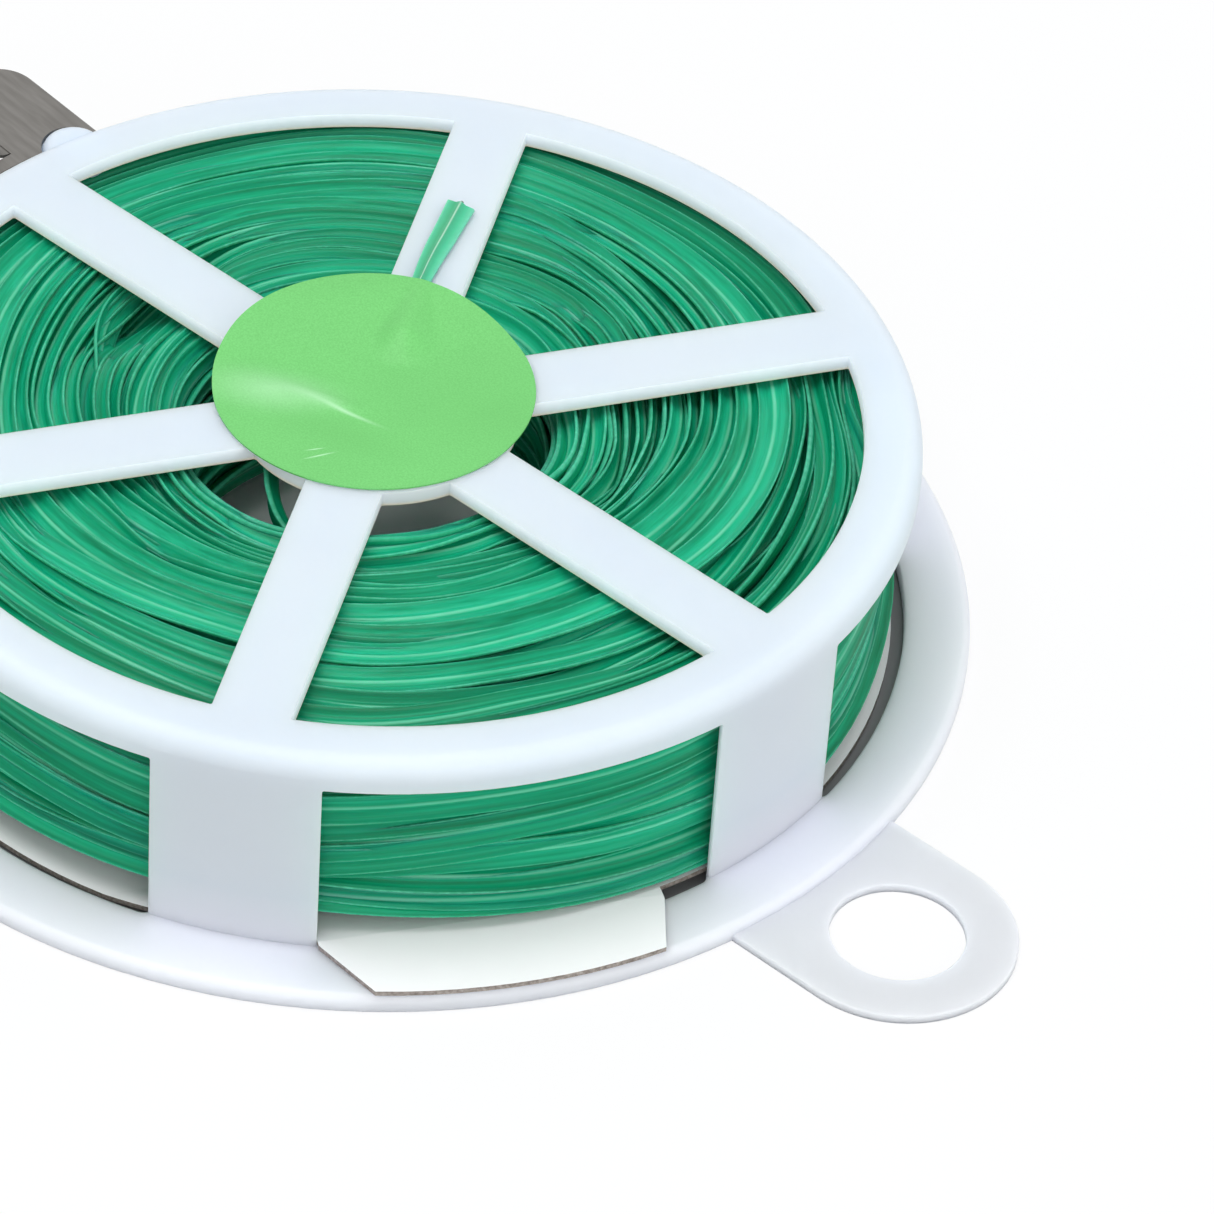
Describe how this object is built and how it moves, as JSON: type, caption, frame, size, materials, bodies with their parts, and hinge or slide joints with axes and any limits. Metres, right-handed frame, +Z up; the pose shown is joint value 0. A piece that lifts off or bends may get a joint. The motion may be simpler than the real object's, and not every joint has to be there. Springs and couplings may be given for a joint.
{
  "type": "wire spool",
  "caption": "Flat round reel of plastic-covered tie wire: an open spoked case with a hanging lug and a steel cutter holds a loose coil that turns inside it, closed below by a card.",
  "frame": {"origin": "on the reel's axis, in the plane that the flange rests on", "axes": "+Z up along the reel's axis, from the card side to the spoked side; +X out along the hanging lug, with the cutter at -X"},
  "size_m": [0.1516, 0.1236, 0.0276],
  "materials": {
    "case_plastic": "satin moulded white, faintly translucent",
    "cutter_steel": "plain rolled sheet",
    "card": "smooth white-faced greyboard",
    "label": "matt, slightly creased sticker",
    "tie_plastic": "soft glossy extruded",
    "tie_wire": "drawn wire, cut end"
  },
  "bodies": {
    "case": {"top_ring": "case_plastic", "hub_disc": "case_plastic", "spoke_1": "case_plastic", "spoke_2": "case_plastic", "spoke_3": "case_plastic", "spoke_4": "case_plastic", "spoke_5": "case_plastic", "spoke_6": "case_plastic", "post_1": "case_plastic", "post_2": "case_plastic", "post_3": "case_plastic", "post_4": "case_plastic", "post_5": "case_plastic", "post_6": "case_plastic", "base_flange": "case_plastic", "hanging_lug": "case_plastic", "cutter_boss_1": "case_plastic", "cutter_boss_2": "case_plastic", "cutter_plate": "cutter_steel", "backing_card": "card", "hub_label": "label", "loose_tie_end": "tie_plastic", "loose_tie_wire": "tie_wire"},
    "coil": {"coil_core": "tie_plastic", "coil_winding": "tie_plastic"}
  },
  "joints": [
    {"name": "coil_spin", "type": "hinge", "parent": "case", "child": "coil", "pos_m": [0, 0, 0], "axis": [0, 0, 1], "continuous": true}
  ]
}
